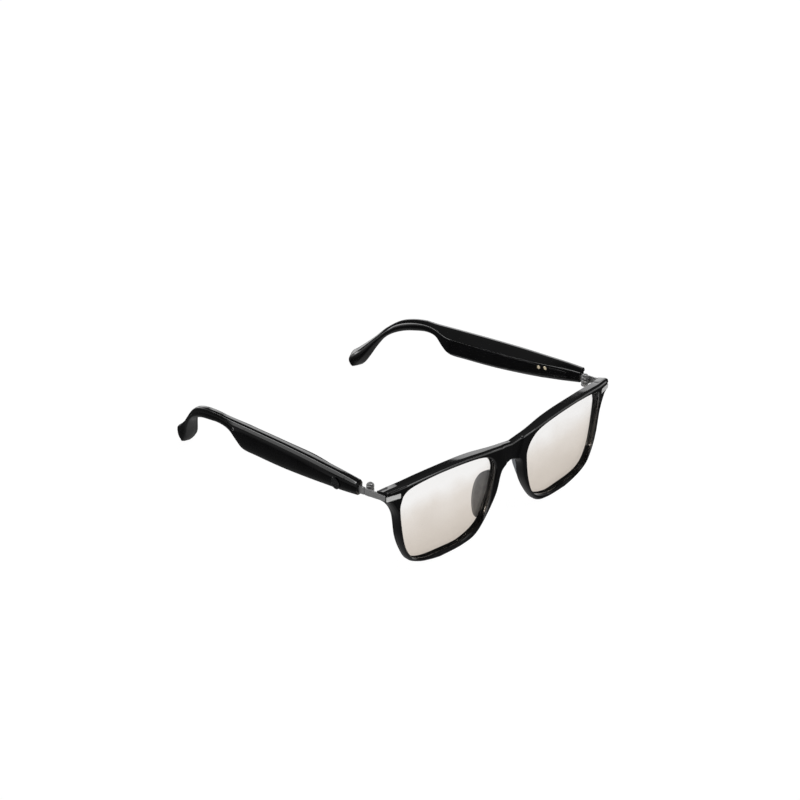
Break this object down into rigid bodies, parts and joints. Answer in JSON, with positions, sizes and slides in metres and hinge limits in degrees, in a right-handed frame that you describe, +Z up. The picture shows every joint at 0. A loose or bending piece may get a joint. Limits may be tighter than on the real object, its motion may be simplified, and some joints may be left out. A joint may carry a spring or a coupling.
{
  "type": "smart audio glasses",
  "caption": "Thick-rimmed rectangular glasses with clear lenses, metal hinges and folding temples that hold a battery, board, speaker and charging contacts.",
  "frame": {"origin": "under the middle of the box around the open glasses, on the surface they rest on", "axes": "+Z up; the wearer looks along -Y, so the lenses are at -Y and the temple tips at +Y; +X is the wearer's left"},
  "size_m": [0.15, 0.1705, 0.0471],
  "materials": {
    "gloss_black": "polished deep black acetate look",
    "lens_glass": "clear, with a faint warm tint and a coating",
    "pad_grey": "soft semi-gloss",
    "satin_silver": "satin silver",
    "gunmetal": "dark satin metal",
    "barrel_steel": "polished steel",
    "gold": "gold plated",
    "battery_foil": "laminated pouch foil",
    "board_green": "solder mask",
    "microphone_can": "tinned can",
    "speaker_black": "moulded speaker module",
    "grille_steel": "black perforated sheet",
    "flex_amber": "flexible printed circuit",
    "mark_black": "slightly duller ring than the casing"
  },
  "bodies": {
    "front": {"front_frame": "gloss_black", "lens_left": "lens_glass", "front_plate_left": "satin_silver", "nose_pad_left": "pad_grey", "hinge_front_leaf_left": "gunmetal", "hinge_screw_left": "barrel_steel", "lens_right": "lens_glass", "front_plate_right": "satin_silver", "nose_pad_right": "pad_grey", "hinge_front_leaf_right": "gunmetal", "hinge_screw_right": "barrel_steel"},
    "temple_left": {"temple_shell_left": "gloss_black", "temple_inner_cover_left": "gloss_black", "temple_hinge_leaf_left": "gunmetal", "temple_touch_mark_left": "mark_black", "temple_charge_contact_front_left": "gold", "temple_charge_contact_rear_left": "gold", "temple_touch_sensor_left": "flex_amber", "temple_main_board_left": "board_green", "temple_microphone_left": "microphone_can", "temple_battery_left": "battery_foil", "temple_speaker_left": "speaker_black", "temple_speaker_grille_left": "grille_steel"},
    "temple_right": {"temple_shell_right": "gloss_black", "temple_inner_cover_right": "gloss_black", "temple_hinge_leaf_right": "gunmetal", "temple_touch_mark_right": "mark_black", "temple_charge_contact_front_right": "gold", "temple_charge_contact_rear_right": "gold", "temple_touch_sensor_right": "flex_amber", "temple_main_board_right": "board_green", "temple_microphone_right": "microphone_can", "temple_battery_right": "battery_foil", "temple_speaker_right": "speaker_black", "temple_speaker_grille_right": "grille_steel"}
  },
  "joints": [
    {"name": "temple_left_fold", "type": "hinge", "parent": "front", "child": "temple_left", "pos_m": [0.0703, -0.06715, 0.041], "axis": [0, 0, 1], "range_deg": [0, 89]},
    {"name": "temple_right_fold", "type": "hinge", "parent": "front", "child": "temple_right", "pos_m": [-0.0703, -0.06715, 0.041], "axis": [0, 0, -1], "range_deg": [0, 78]}
  ]
}
